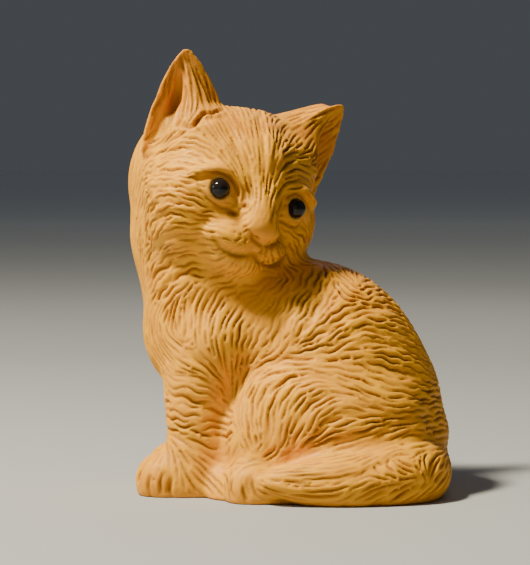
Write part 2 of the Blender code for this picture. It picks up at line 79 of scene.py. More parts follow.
# Combing lines run from the root of the hair to its tip. Each point is a distance to the right of the
# middle and a height, seen from the camera. Each group starts with the distance between its strands,
# the fur's depth, and the sway and length of its waves. All are in mm.
PITCH, DEPTH, SWAY, WAVE = range(4)
COMB = {
    "nape": (1.3, 0.22, 0.0, 6.0, [
        [(-47.1, 104.1), (-49.9, 88.8), (-48.7, 73.5), (-45.6, 58.2)]]),
    "cheek": (1.5, 0.55, 0.24, 4.5, [
        [(-23.0, 99.6), (-31.9, 103.2), (-39.5, 102.3), (-45.6, 99.9)],
        [(-29.7, 95.6), (-38.0, 96.2), (-45.0, 95.6)],
        [(-28.8, 88.8), (-37.4, 91.9), (-43.5, 90.1), (-45.6, 84.6)],
        [(-20.8, 84.9), (-30.0, 85.8), (-39.2, 87.6), (-44.1, 82.7), (-45.0, 76.6)],
        [(-24.5, 81.5), (-36.1, 83.9), (-41.6, 80.9), (-43.8, 74.8)],
        [(-25.7, 106.9), (-33.4, 108.1), (-39.5, 104.8), (-44.7, 101.7)]]),
    "jowl": (1.55, 0.27, 0.15, 5, [
        [(-25.1, 77.8), (-33.1, 79.1), (-39.2, 77.2), (-43.5, 71.7)],
        [(-20.8, 74.8), (-28.8, 74.5), (-36.1, 73.5)]]),
    "brow": (1.35, 0.42, 0.05, 8.0, [
        [(-12.0, 87.0), (-12.9, 95.0), (-16.6, 104.1), (-22.1, 113.3)],
        [(-11.0, 88.8), (-11.7, 98.6), (-14.1, 108.7), (-16.6, 116.4)],
        [(-9.5, 88.2), (-9.5, 99.6), (-10.1, 110.3), (-11.0, 116.1)],
        [(-7.7, 85.8), (-6.5, 96.8), (-4.6, 104.1), (-2.5, 109.7)],
        [(-16.6, 95.6), (-20.2, 102.0), (-24.8, 107.2), (-27.9, 112.1)],
        [(-9.2, 87.0), (-8.6, 93.4), (-8.6, 101.1), (-8.6, 108.7)]]),
    "temple": (1.7, 0.5, 0.12, 6, [
        [(-7.7, 86.4), (-6.8, 93.1), (-4.6, 98.6), (-1.3, 103.5)],
        [(-7.1, 85.2), (-5.8, 90.7), (-3.1, 94.4), (1.2, 96.8)],
        [(-5.5, 88.8), (-3.1, 91.9), (0.6, 93.7), (4.0, 93.1)],
        [(-3.1, 101.1), (1.2, 101.1), (4.9, 98.6)]]),
    "far cheek": (1.6, 0.45, 0.2, 4, [
        [(5.8, 91.9), (6.1, 85.2), (5.5, 77.8)],
        [(-1.3, 79.7), (2.7, 78.4), (4.6, 74.8)],
        [(-4.3, 79.1), (-1.6, 74.8), (-0.0, 70.5)]]),
    "muzzle": (1.5, 0.42, 0.20, 3.5, [
        [(-13.8, 78.4), (-18.7, 76.0), (-23.3, 77.8)],
        [(-13.2, 85.2), (-17.5, 82.4), (-22.1, 82.7), (-26.6, 83.6)],
        [(-8.6, 74.5), (-7.1, 69.3)],
        [(-5.5, 77.5), (-3.1, 74.2)],
        [(-10.7, 73.5), (-9.8, 69.6)]]),
    "chin": (1.3, 0.22, 0.0, 6.0, [
        [(-12.3, 71.7), (-13.8, 68.0), (-16.6, 65.0)],
        [(-17.5, 71.1), (-19.9, 66.8)]]),
    "ears": (1.5, 0.28, 0.05, 8.0, [
        [(-34.3, 133.5), (-36.1, 121.9), (-38.6, 109.7)],
        [(-31.9, 131.7), (-27.9, 124.3), (-25.4, 118.2)],
        [(-32.5, 128.0), (-32.2, 117.0)],
        [(-28.8, 117.0), (-33.7, 111.5), (-41.0, 106.6)],
        [(14.4, 117.3), (7.3, 109.7), (2.4, 100.5)],
        [(12.2, 117.6), (3.6, 115.5), (-3.7, 112.7)]]),
    "jaw": (2.0, 0.52, 0.4, 6, [
        [(-28.8, 71.1), (-37.4, 69.3), (-42.6, 63.8)],
        [(-26.3, 65.6), (-33.7, 65.6), (-38.6, 61.9), (-41.6, 57.6)],
        [(-13.5, 63.4), (-19.6, 61.9), (-24.5, 59.5)]]),
    "chest": (1.5, 0.46, 0.08, 8.0, [
        [(-30.3, 61.3), (-32.2, 56.1), (-31.5, 49.1), (-33.7, 43.6)],
        [(-37.4, 61.3), (-42.3, 56.1), (-42.6, 49.1), (-39.2, 42.0), (-35.5, 38.0)],
        [(-43.8, 54.6), (-45.0, 49.7), (-43.5, 42.9), (-39.2, 36.5)],
        [(-25.1, 60.1), (-27.6, 53.3), (-27.3, 47.2)],
        [(-19.0, 58.9), (-23.3, 51.5), (-24.5, 47.2)],
        [(-20.8, 44.2), (-19.9, 36.2), (-19.3, 27.0)]]),
    "breast": (1.75, 0.45, 0.15, 6, [
        [(-34.9, 44.8), (-28.8, 40.2), (-22.4, 34.7)],
        [(-37.4, 35.6), (-30.3, 34.7), (-23.0, 31.9)]]),
    "foreleg": (2.1, 0.62, 0.5, 6.5, [
        [(-38.6, 30.4), (-30.3, 28.0), (-21.1, 25.2)],
        [(-38.0, 24.6), (-29.7, 23.4), (-20.8, 23.7)],
        [(-38.0, 19.1), (-28.8, 19.1), (-20.2, 19.7)]]),
    "shin": (2.0, 0.45, 0.1, 8, [
        [(-38.0, 17.5), (-30.3, 10.8), (-22.1, 4.4)],
        [(-38.0, 13.6), (-32.2, 6.8), (-25.7, -1.4)]]),
    "paw": (2.0, 0.18, 0.0, 8.0, [
        [(-39.2, 12.0), (-41.0, 4.4), (-43.2, -1.1)],
        [(-36.1, 9.3), (-36.4, 2.6), (-37.4, -1.4)],
        [(-42.9, 11.4), (-46.5, 6.2), (-47.5, 1.9)],
        [(-18.4, 12.7), (-20.2, 5.6), (-19.3, -1.4)],
        [(-13.2, 9.0), (-17.2, 3.5), (-15.3, -2.3)]]),
    "shoulder": (1.7, 0.4, 0.25, 5, [
        [(-8.6, 55.5), (-13.5, 48.1), (-15.6, 38.0)],
        [(-0.3, 56.4), (-3.4, 49.7), (-4.6, 42.9)],
        [(10.1, 63.1), (6.4, 55.5), (1.2, 48.5), (-2.2, 43.6)]]),
    "back": (1.75, 0.55, 0.26, 5.5, [
        [(-2.2, 42.9), (7.3, 48.5), (15.9, 53.7), (22.6, 55.8), (30.9, 54.9)],
        [(1.8, 42.9), (10.4, 44.2), (19.6, 49.7), (27.5, 48.5), (36.1, 45.7)],
        [(10.4, 40.5), (17.1, 42.9), (22.0, 46.3), (31.2, 45.1), (38.5, 41.4)],
        [(19.6, 40.2), (28.7, 37.1), (38.5, 35.0)],
        [(15.6, 63.8), (20.2, 59.5), (25.7, 60.7)]]),
    "haunch": (1.65, 0.52, 0.18, 6, [
        [(-13.2, 36.5), (-6.1, 40.2), (5.5, 41.7), (14.0, 40.5)],
        [(-15.6, 29.5), (-11.3, 36.2), (-1.6, 39.0), (7.9, 36.5), (17.1, 30.1), (28.7, 24.0),
         (41.0, 25.5)],
        [(-4.0, 29.5), (0.9, 34.1), (10.1, 34.7), (19.6, 34.1), (29.0, 29.8), (41.0, 27.6)],
        [(-13.5, 12.7), (-15.3, 19.7), (-15.6, 26.1)],
        [(-7.4, 11.4), (-5.2, 17.2), (-5.2, 24.3), (-3.1, 28.9)],
        [(-2.5, 11.4), (-0.3, 17.2), (0.9, 23.4), (5.8, 28.9), (12.8, 31.0), (21.7, 27.6)],
        [(-0.3, 11.4), (4.6, 17.2), (7.6, 23.4), (13.1, 27.3), (18.9, 27.3), (28.7, 23.4),
         (38.5, 23.4)],
        [(0.9, 11.7), (10.1, 18.5), (19.6, 21.5), (28.7, 22.1)],
        [(2.7, 13.3), (10.4, 16.3), (18.3, 18.5), (24.5, 19.1)],
        [(23.8, 17.2), (28.4, 21.2), (36.1, 23.1), (43.4, 24.6)],
        [(30.9, 16.9), (34.2, 20.3), (41.0, 21.5)]]),
    "tail top": (1.6, 0.26, 0.1, 6, [
        [(42.8, 18.2), (24.1, 16.6), (10.1, 12.3), (-4.0, 8.1), (-16.6, 9.3)],
        [(40.7, 13.0), (31.2, 11.7), (24.1, 9.3), (17.1, 5.9), (5.5, 5.0), (-8.0, 4.7)]]),
    "tail": (1.75, 0.52, 0.08, 6, [
        [(29.7, 10.5), (32.4, 6.2), (36.1, 3.8)],
        [(23.8, 8.7), (26.3, 5.0), (30.0, 3.2)],
        [(41.6, 11.7), (39.8, 8.1), (41.0, 5.0)],
        [(15.0, -3.3), (19.6, 0.1), (26.9, 2.9)],
        [(21.4, -3.3), (27.8, 0.7), (35.5, 3.2)],
        [(29.7, -3.0), (33.6, 0.7), (38.5, 3.8)],
        [(38.5, -2.3), (42.2, 1.3), (45.3, 5.0)],
        [(10.1, -0.8), (-0.6, -0.5), (-8.6, 1.9)]]),
}
# The far side is combed along the lines of these groups, laid on it from behind, and the far side
# of the head along lines of its own
FAR_GROUPS = ("nape", "jaw", "chest", "breast", "foreleg", "shin", "paw", "shoulder", "back", "haunch")
FAR_HEAD = (1.9, 0.35, 0.10, 6.0, [
    [(-13.5, 115.8), (-17.8, 104.1), (-23.9, 88.8), (-27.6, 70.5)],
    [(-24.2, 113.9), (-30.0, 101.1), (-34.9, 85.8), (-37.4, 67.4)],
    [(-4.3, 108.7), (-9.8, 98.0), (-16.6, 82.7), (-20.8, 67.4)],
    [(-36.1, 111.8), (-41.6, 99.6), (-45.3, 85.8), (-45.3, 70.5)]])

# Sharp cuts on the face, ears and paws: gouge radius and depth in mm, then the lines
DETAILS = [
    (0.85, 0.95, [
        [(-30.0, 95.9), (-27.9, 97.1), (-25.1, 97.4), (-22.4, 96.8), (-19.9, 95.6), (-18.1, 93.4),
         (-17.2, 90.7), (-17.5, 88.2)],
        [(-5.2, 85.2), (-3.4, 88.2), (-1.3, 89.8), (0.9, 90.4), (3.0, 89.2), (4.3, 86.7)]]),
    (0.8, 0.40, [
        [(-29.7, 95.0), (-28.5, 91.6), (-26.0, 88.8), (-23.3, 87.0), (-20.2, 86.4), (-17.8, 87.6)],
        [(-5.2, 84.9), (-3.7, 82.4), (-1.3, 80.9), (0.9, 80.6), (2.7, 82.7)],
        [(-8.0, 74.5), (-8.6, 71.7), (-8.0, 69.6)],
        [(-6.5, 74.8), (-6.5, 71.7), (-5.8, 69.6)],
        [(-4.9, 75.4), (-4.3, 72.6), (-4.0, 70.5)],
        [(-9.8, 73.9), (-10.1, 71.7)]]),
    (1.3, 1.2, [
        [(-15.3, 92.5), (-15.0, 90.4), (-15.6, 88.2)],
        [(-13.8, 93.1), (-13.5, 91.0), (-13.5, 88.8)],
        [(-20.5, 86.1), (-19.0, 85.2), (-17.5, 84.6)],
        [(-15.6, 87.6), (-14.7, 86.4)]]),
    (1.0, 0.8, [
        [(-13.5, 79.1), (-12.3, 76.3), (-9.2, 74.5)],
        [(-9.2, 74.5), (-6.5, 75.1), (-4.6, 76.6)],
        [(-9.2, 74.5), (-9.8, 72.9), (-11.7, 72.0)],
        [(-12.0, 77.8), (-10.7, 76.6)],
        [(-7.4, 76.0), (-6.1, 76.6)]]),
    (1.1, 0.6, [
        [(-24.5, 76.9), (-22.7, 73.9), (-19.6, 72.3), (-16.2, 71.7), (-13.2, 72.0)]]),
    (1.1, 1.1, [
        [(-12.6, 72.6), (-11.3, 70.8), (-9.8, 69.3), (-7.4, 68.6), (-4.6, 69.3), (-2.5, 71.4),
         (-1.9, 74.5)]]),
    (1.2, 1.5, [
        [(-34.6, 111.8), (-32.8, 111.2), (-30.9, 111.8), (-29.1, 113.6), (-27.0, 115.8),
         (-24.5, 115.8), (-21.8, 116.7)],
        [(-33.4, 123.1), (-34.0, 118.5), (-34.9, 113.9), (-36.1, 111.2)]]),
    (3.0, 0.5, [
        [(-35.5, 124.3), (-36.1, 120.1), (-37.1, 116.4), (-38.6, 112.7), (-41.0, 109.0)]]),
    (0.85, 0.6, [
        [(-34.6, 132.9), (-34.0, 129.2), (-33.1, 125.6)],
        [(-33.4, 132.9), (-31.5, 126.8), (-30.9, 119.4), (-31.2, 114.5)],
        [(-32.2, 132.0), (-29.1, 124.3), (-27.6, 118.2)],
        [(-30.3, 128.0), (-26.6, 121.9), (-24.8, 117.6)],
        [(-36.7, 129.8), (-38.3, 124.3), (-40.1, 119.4)],
        [(-32.8, 121.9), (-32.5, 117.6), (-33.1, 113.3)],
        [(-38.9, 123.1), (-41.6, 118.2), (-43.5, 114.5)],
        [(15.9, 115.5), (13.7, 109.3), (10.7, 102.0), (6.7, 95.0)]]),
    (1.0, 0.8, [
        [(-44.1, 4.4), (-44.7, 1.3), (-43.8, -2.0)],
        [(-40.1, 5.3), (-41.0, 1.9), (-40.4, -1.1)],
        [(-37.4, 3.8), (-38.0, 0.7), (-37.4, -2.0)],
        [(-46.8, 5.6), (-47.8, 2.6)],
        [(-15.6, 1.3), (-15.3, -1.1), (-14.4, -3.6)],
        [(-19.0, 3.2), (-19.6, 0.1), (-18.4, -2.3)],
        [(-12.9, 3.2), (-12.6, 0.1), (-11.0, -2.3)]]),
    (0.9, 0.7, [
        [(-43.2, 3.5), (-42.9, 2.9)],
        [(4.9, 2.2), (5.2, 1.9)],
        [(10.1, 2.2), (10.4, 1.9)],
        [(-1.6, 1.9), (-1.3, 1.9)]]),
]
# Places that stay nearly smooth: where, the radius in mm, and the share of the fur's depth kept.
# The calm ends softly between these shares of the radius.
CALM_EDGE = (0.75, 1.25)
CALM = [
    (-23.6, 92.5, 5.8, 0.0), (-23.6, 97.4, 4.0, 0.1), (0.3, 86.1, 4.6, 0.0),
    (-9.2, 78.1, 4.6, 0.0), (-9.8, 84.6, 3.1, 0.35), (-36.7, 117.6, 4.6, 0.35),
    (-8.9, 58.9, 7.3, 0.45), (-45.0, 3.2, 4.9, 0.35), (-14.7, 0.7, 4.9, 0.45),
]

# The fur's depth at full press, in multiples of its group's depth
FULL_PRESS = 2.5
# How far the strands wander, in radians, and over what distance in mm
WANDER = (0.4, 5.0)
# The faint strands between the cuts: their share of the depth and of the painted shade
FAINT_DEPTH = 0.12
FAINT_SHADE = 0.15
# The depth's slow change over the body: distance in mm, middle, change, least and most
DRIFT = (12.0, 0.9, 0.3, 0.4, 1.2)
# The fur fades in between these degrees of agreement of the strands, and these heights in mm
AGREEMENT = (0.15, 0.6)
FUR_START = (0.3, 2.5)
# The painted shade in the cuts grows from nothing to full between these depths of the fur in mm.
# Sharp cuts take this share of it.
SHADED_DEPTH = (0.05, 0.5)
DETAIL_SHADE = 0.8
# How fast the pale ridge tops, partly wear and partly painted highlight, end beside a cut
RIDGE_FALL = 2.5
# The pale rim round each bead: its soft edge, in mm from the bead's middle, and its strength
RIM_EDGE = (3.2, 4.1)
RIM_STRENGTH = 0.7
# How far outside a bead its socket's wall is still drawn in, in mm
SOCKET_BAND = 0.6

# Lamps: name, place and size in metres, power in watts, colour
LAMPS = [
    ("key_lamp", (-0.49, -0.27, 0.91), 0.14, 28.0, (1.0, 0.96, 0.78)),
    ("side_lamp", (-0.85, -0.15, 0.35), 0.3, 1.0, (1.0, 0.97, 0.93)),
    ("fill_lamp", (-0.2, -1.0, 0.35), 0.7, 0.35, (1.0, 0.97, 0.9)),
    ("rim_lamp", (0.25, 0.75, 0.6), 0.5, 0.6, (1.0, 0.98, 0.95)),
]
SKY_COLOUR = (0.74, 0.81, 0.90, 1.0)
SKY_STRENGTH = 0.085
FLOOR_RADIUS = 20.0


def view_axes(far=False):
    """Where the camera stands, in mm, with its right, up and back directions; far looks from behind."""
    rise = math.radians(CAMERA_RISE)
    flip = -1.0 if far else 1.0
    right = Vector((1, 0, 0))
    up = Vector((0, flip * math.sin(rise), math.cos(rise)))
    back = Vector((0, -flip * math.cos(rise), math.sin(rise)))
    distance = max(VIEW_WIDTH, VIEW_HEIGHT) * PIXEL * LENS / SENSOR
    return Vector(AIM) + back * distance, right, up, back, distance


def drawn(tree, line, far=False):
    """A drawn line carried onto the body along the camera's sight, as points and normals in mm."""
    stand, right, up, back, distance = view_axes(far)
    found = []
    for x, height in line:
        ray = right * (x - AIM[0]) + up * (height - AIM[2]) - back * distance
        place, normal, _, _ = tree.ray_cast(stand * MM, ray.normalized())
        if place is not None:
            found.append((place / MM, normal))
    return found


def through(points, t):
    """A point on the smooth curve through the points, t running from 0 to their count less one."""
    last = len(points) - 1
    i = min(int(t), last - 1)
    f = t - i
    a, b = points[max(i - 1, 0)], points[i]
    c, d = points[i + 1], points[min(i + 2, last)]
    return 0.5 * (
        2 * b + (c - a) * f + (2 * a - 5 * b + 4 * c - d) * f * f + (3 * b - a - 3 * c + d) * f ** 3
    )


def curve_points(line, step):
    """Points every step along the smooth curve through a line of vectors or pairs."""
    line = [Vector(p) for p in line]
    length = sum((b - a).length for a, b in zip(line, line[1:]))
    count = max(2, round(length / step))
    return [through(line, (len(line) - 1) * k / count) for k in range(count + 1)]


def smooth_step(x, low, high):
    """Rises softly from 0 at low to 1 at high."""
    t = np.clip((x - low) / (high - low), 0.0, 1.0)
    return t * t * (3 - 2 * t)


def swell(share, end):
    """A sine's arch at a share of a cut's length, without the arch's first and last end shares."""
    return math.sin(math.pi * (end + (1 - 2 * end) * share))


def soft_noise(points, size, seed):
    """A smooth random value for each point, mostly between -1 and 1, varying over size mm."""
    rng = np.random.default_rng(seed)
    total = np.zeros(len(points))
    waves = 14
    for _ in range(waves):
        turn = rng.normal(size=3)
        turn *= rng.uniform(0.6, 1.4) / np.linalg.norm(turn)
        total += np.sin(points @ turn * (2 * math.pi / size) + rng.uniform(0, 2 * math.pi))
    return total / math.sqrt(waves)


def select_only(obj):
    bpy.ops.object.select_all(action="DESELECT")
    obj.select_set(True)
    bpy.context.view_layer.objects.active = obj


def apply_modifier(obj, kind, **settings):
    select_only(obj)
    modifier = obj.modifiers.new(kind.lower(), kind)
    for key, value in settings.items():
        setattr(modifier, key, value)
    bpy.ops.object.modifier_apply(modifier=modifier.name)


def copy_of_node(node, name):
    """A merged copy of a CAD node's mesh as a new object."""
    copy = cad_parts[node].copy()
    copy.data = copy.data.copy()
    copy.name = name
    copy.data.name = name
    copy.parent = None
    for key in list(copy.keys()):
        del copy[key]
    bpy.context.scene.collection.objects.link(copy)
    copy.data.materials.clear()
    select_only(copy)
    bpy.ops.object.mode_set(mode="EDIT")
    bpy.ops.mesh.select_all(action="SELECT")
    bpy.ops.mesh.remove_doubles(threshold=0.00001)
    bpy.ops.object.mode_set(mode="OBJECT")
    return copy


def read_mesh(obj):
    """Vertices in mm and their normals."""
    count = len(obj.data.vertices)
    places = np.empty(count * 3, np.float32)
    normals = np.empty(count * 3, np.float32)
    obj.data.vertices.foreach_get("co", places)
    obj.data.vertex_normals.foreach_get("vector", normals)
    return places.reshape(-1, 3).astype(float) / MM, normals.reshape(-1, 3).astype(float)


def write_mesh(obj, places):
    obj.data.vertices.foreach_set("co", (places * MM).astype(np.float32).ravel())
    obj.data.update()


def store(obj, name, values):
    layer = obj.data.attributes.get(name) or obj.data.attributes.new(name, "FLOAT", "POINT")
    layer.data.foreach_set("value", values.astype(np.float32))


def kd_of(places):
    tree = KDTree(len(places))
    for i, place in enumerate(places):
        tree.insert(place, i)
    tree.balance()
    return tree


def head_frame():
    turn = (
        Matrix.Rotation(math.radians(HEAD_YAW), 4, "Z")
        @ Matrix.Rotation(math.radians(HEAD_PITCH), 4, "X")
        @ Matrix.Rotation(math.radians(HEAD_ROLL), 4, "Y")
    )
    return Matrix.Translation(Vector(HEAD_CENTRE)) @ turn


def in_head(places):
    """Places in the head's own frame: x to the camera's right, y to the nape, z to the crown."""
    back = np.array(head_frame().inverted())
    return places @ back[:3, :3].T + back[:3, 3]


class Comb:
    """The combing lines laid on a body, read as hair direction and group values at any place."""

    # Distance in mm between the points on a line, and the longest step that stays on one part
    STEP = 2.5
    LONGEST = 5.0
    # The blend: how many line points it takes, the weight left to skin that faces away, and how
    # the weight falls with the squared distance in mm
    NEAR = 24
    FACING_AWAY = 0.02
    SOFTNESS = 2.0
    FALL = 2.5

    def __init__(self, tree):
        spots, ways, faces, cuts = [], [], [], []
        groups = [(group, False) for group in COMB.values()]
        groups += [(COMB[name], True) for name in FAR_GROUPS] + [(FAR_HEAD, True)]
        for (pitch, depth, sway, wave, lines), far in groups:
            for line in lines:
                found = drawn(tree, [tuple(p) for p in curve_points(line, self.STEP)], far)
                for (a, n), (b, _) in zip(found, found[1:]):
                    if (b - a).length < self.LONGEST:
                        spots.append((a + b) / 2)
                        ways.append((b - a).normalized())
                        faces.append(n)
                        cuts.append((pitch, depth, sway, wave))
        self.spots = np.array(spots)
        self.ways = np.array(ways)
        self.faces = np.array(faces)
        self.cuts = np.array(cuts)
        self.tree = kd_of(spots)

    def at(self, places, normals):
        """Hair direction and group values at each place, blended from the nearest combing lines."""
        picks = np.array([[i for _, i, _ in self.tree.find_n(p, self.NEAR)] for p in places])
        gaps = ((self.spots[picks] - places[:, None]) ** 2).sum(2)
        facing = np.clip((self.faces[picks] * normals[:, None]).sum(2), 0, 1)
        weight = (self.FACING_AWAY + facing) / (gaps + self.SOFTNESS) ** self.FALL
        ways = self.ways[picks]
        lead = np.take_along_axis(ways, weight.argmax(1)[:, None, None], 1)
        signs = np.where((ways * lead).sum(2) < 0, -1.0, 1.0)
        way = (ways * (weight * signs)[..., None]).sum(1)
        cut = (self.cuts[picks] * weight[..., None]).sum(1) / weight.sum(1)[:, None]
        return flat_on(way, normals), cut


def flat_on(ways, normals):
    """Directions laid flat on the skin and made of unit length."""
    ways = ways - normals * (ways * normals).sum(1)[:, None]
    return ways / np.maximum(np.linalg.norm(ways, axis=1), 1e-6)[:, None]


class Fur:
    """Strands that follow the comb: stripe phases solved at sites on the skin and read near it."""

    # How many sites are blended, which of the nearest sets the blend's reach, and the share used
    NEAR = 20
    REACH_SITE = 5
    REACH = 0.9
    # Rounds in which neighbours' directions, strands and waves are brought to agree
    WAY_ROUNDS = 4
    STRAND_ROUNDS = 60
    WAVE_ROUNDS = 14
    # The weight left to sites that face away, and how many places are read at a time
    FACING_AWAY = 0.02
    BLOCK = 40000

    def __init__(self, places, normals, way, cut, seed):
        self.places = places
        self.normals = normals
        self.tree = kd_of(places)
        self.picks = np.array([[i for _, i, _ in self.tree.find_n(p, self.NEAR)] for p in places])
        gaps = ((places[self.picks] - places[:, None]) ** 2).sum(2)
        self.spread = 2 * float(np.median(gaps[:, self.REACH_SITE])) * self.REACH
        weight = np.exp(-gaps / self.spread)
        weight *= np.clip((normals[self.picks] * normals[:, None]).sum(2), 0, 1)
        for _ in range(self.WAY_ROUNDS):
            signs = np.where((way[self.picks] * way[:, None]).sum(2) < 0, -1.0, 1.0)
            way = flat_on((way[self.picks] * (weight * signs)[..., None]).sum(1), normals)
        self.way = way
        self.across = np.cross(normals, way)
        self.cut = cut
        self.signs = np.where((way[self.picks] * way[:, None]).sum(2) < 0, -1.0, 1.0)
        self.strand_step = 2 * math.pi / cut[:, PITCH]
        self.wave_step = 2 * math.pi / cut[:, WAVE]
        self.strand = self.settle(self.across, self.strand_step, weight, seed, self.STRAND_ROUNDS)
        self.wave = self.settle(self.way, self.wave_step, weight, seed + 1, self.WAVE_ROUNDS)

    def settle(self, along, step, weight, seed, rounds):
        """Turns random phases into stripes that agree with their neighbours."""
        gap = self.places[:, None] - self.places[self.picks]
        shift = (along[self.picks] * gap).sum(2) * step[self.picks]
        phase = np.random.default_rng(seed).uniform(0, 2 * math.pi, len(self.places))
        for _ in range(rounds):
            told = np.exp(1j * self.signs * (phase[self.picks] + shift)) * weight
            phase = np.angle(told.sum(1))
        return phase

    def read(self, places, normals):
        """Strand and wave phases, how well the strands agree, and the group values at each place."""
        sites = np.array([self.tree.find(p)[1] for p in places])
        phases = np.empty((2, len(places)))
        agree = np.empty(len(places))
        cut = np.empty((len(places), 4))
        fields = (
            (self.strand, self.across, self.strand_step),
            (self.wave, self.way, self.wave_step),
        )
        for start in range(0, len(places), self.BLOCK):
            part = slice(start, start + self.BLOCK)
            picks = self.picks[sites[part]]
            gap = places[part][:, None] - self.places[picks]
            weight = np.exp(-(gap ** 2).sum(2) / self.spread)
            facing = (self.normals[picks] * normals[part][:, None]).sum(2)
            weight *= np.clip(facing, self.FACING_AWAY, 1)
            signs = self.signs[sites[part]]
            total = weight.sum(1)
            for row, (phase, along, step) in enumerate(fields):
                told = signs * (phase[picks] + (along[picks] * gap).sum(2) * step[picks])
                told = (np.exp(1j * told) * weight).sum(1)
                phases[row, part] = np.angle(told)
                if row == 0:
                    agree[part] = np.abs(told) / total
            cut[part] = (self.cut[picks] * weight[..., None]).sum(1) / total[:, None]
        return phases, agree, cut


class Cuts:
    """Tapered cuts of the gouge that follow the combed hair, each kept clear of its neighbours."""

    # The size of a search cell and the distance between a cut's points, in mm
    CELL = 1.6
    STEP = 0.4
    # In shares of the strands' pitch: a cut's half length and width, how clear of others it starts
    # and goes on, and how far beside it the next one starts
    LENGTHS = (2.2, 7.5)
    WIDTH = 0.6
    START_CLEAR = 0.86
    TRACE_CLEAR = 0.56
    BESIDE = 1.0
    # The fewest points of a cut, and the points beside which the next cuts start
    FEWEST = 6
    BESIDE_POINTS = slice(2, None, 6)
    # The range of a cut's strength, its arch's end share and power
    STRENGTHS = (0.65, 1.1)
    END = 0.04
    ARCH = 0.6
    # How far the cuts sway with the waves, and how fast they are drawn back to the skin
    SWAYING = 1.15
    DRAWN_BACK = 0.5
    # A cut's section: the share of its soft sides and their power, and the power of its painted shade
    SIDES = 0.45
    SIDE_POWER = 1.5
    SHADE_POWER = 1.9
    # How many cuts' points are looked at for each place
    NEAR = 3

    def __init__(self, fur, seed):
        self.fur = fur
        self.cells = {}
        self.marks = []
        self.strengths = []
        self.widths = []
        rng = np.random.default_rng(seed)
        for site in rng.permutation(len(fur.places)):
            waiting = [Vector(fur.places[site])]
            while waiting:
                start = waiting.pop(0)
                pitch = fur.cut[fur.tree.find(start)[1], PITCH]
                if not self.crowded(start, self.START_CLEAR * pitch):
                    waiting += self.cut(start, pitch, rng)

    def cut(self, start, pitch, rng):
        """Makes one cut through start and returns places one strand away on both its sides."""
        fur = self.fur
        ahead = pitch * rng.uniform(*self.LENGTHS)
        behind = pitch * rng.uniform(*self.LENGTHS)
        line = self.trace(start, -1.0, behind, pitch)[::-1] + [start]
        line += self.trace(start, 1.0, ahead, pitch)
        if len(line) < self.FEWEST:
            return []
        self.keep(line, pitch, rng.uniform(*self.STRENGTHS))
        beside = []
        for place in line[self.BESIDE_POINTS]:
            across = Vector(fur.across[fur.tree.find(place)[1]])
            for side in (-1.0, 1.0):
                beside.append(Vector(fur.tree.find(place + across * side * pitch * self.BESIDE)[0]))
        return beside

    def cell(self, place):
        return tuple(int(math.floor(part / self.CELL)) for part in place)

    def crowded(self, place, clear):
        """Tells whether an earlier cut lies closer than clear."""
        a, b, c = self.cell(place)
        for i in (a - 1, a, a + 1):
            for j in (b - 1, b, b + 1):
                for k in (c - 1, c, c + 1):
                    for mark in self.cells.get((i, j, k), ()):
                        if (mark - place).length_squared < clear * clear:
                            return True
        return False

    def trace(self, start, sign, length, pitch):
        """Follows the hair from start, swaying with the waves, until length or another cut is met."""
        fur = self.fur
        line = []
        place = start
        heading = None
        for _ in range(int(length / self.STEP)):
            site = fur.tree.find(place)[1]
            way = Vector(fur.way[site])
            across = Vector(fur.across[site])
            lean = 2 * math.pi * fur.cut[site, SWAY] / fur.cut[site, WAVE]
            gap = place - Vector(fur.places[site])
            wave = fur.wave[site] + way.dot(gap) * fur.wave_step[site]
            turn = self.SWAYING * lean * math.sin(wave)
            step = (way + across * turn).normalized()
            if heading is None:
                heading = step * sign
            if step.dot(heading) < 0:
                step = -step
            heading = (heading + step).normalized()
            place = place + heading * self.STEP
            normal = Vector(fur.normals[site])
            off_skin = normal.dot(place - Vector(fur.places[site]))
            place = place - normal * off_skin * self.DRAWN_BACK
            if self.crowded(place, self.TRACE_CLEAR * pitch):
                break
            line.append(place)
        return line

    def keep(self, line, pitch, strength):
        """Adds a cut's points, with their strengths and widths."""
        for k, place in enumerate(line):
            self.cells.setdefault(self.cell(place), []).append(place)
            share = k / (len(line) - 1)
            self.marks.append(place)
            self.strengths.append(strength * swell(share, self.END) ** self.ARCH)
            self.widths.append(self.WIDTH * pitch)

    def read(self, places):
        """How strongly the cuts press at each place, and how near it is to a cut's bottom."""
        tree = kd_of(self.marks)
        press = np.zeros(len(places))
        bottom = np.zeros(len(places))
        for i, place in enumerate(places):
            for _, mark, gap in tree.find_n(place, self.NEAR):
                share = 1 - gap / self.widths[mark]
                if share > 0:
                    strength = self.strengths[mark]
                    middle = max(0.0, 2 * share - 1)
                    edge = self.SIDES * share ** self.SIDE_POWER + (1 - self.SIDES) * middle
                    press[i] = max(press[i], strength * edge)
                    # The painted shade is strongest at a cut's bottom
                    bottom[i] = max(bottom[i], min(1.0, strength) * share ** self.SHADE_POWER)
        return press, bottom


def gouge(places, normals, lines, radius, depth):
    """Presses a round gouge along lines of points in mm and returns the moved places."""
    step = 0.3
    end = 0.05
    marks, strengths = [], []
    for line in lines:
        spots = curve_points(line, step)
        for k, spot in enumerate(spots):
            share = k / (len(spots) - 1)
            marks.append(spot)
            strengths.append(math.sqrt(swell(share, end)))
    tree = kd_of(marks)
    low = np.min(marks, axis=0) - radius
    high = np.max(marks, axis=0) + radius
    moved = places.copy()
    for i in np.nonzero(((places > low) & (places < high)).all(1))[0]:
        _, mark, gap = tree.find(places[i])
        if gap < radius:
            press = depth * strengths[mark] * (1 - (gap / radius) ** 2) ** 2
            moved[i] -= normals[i] * press
    return moved


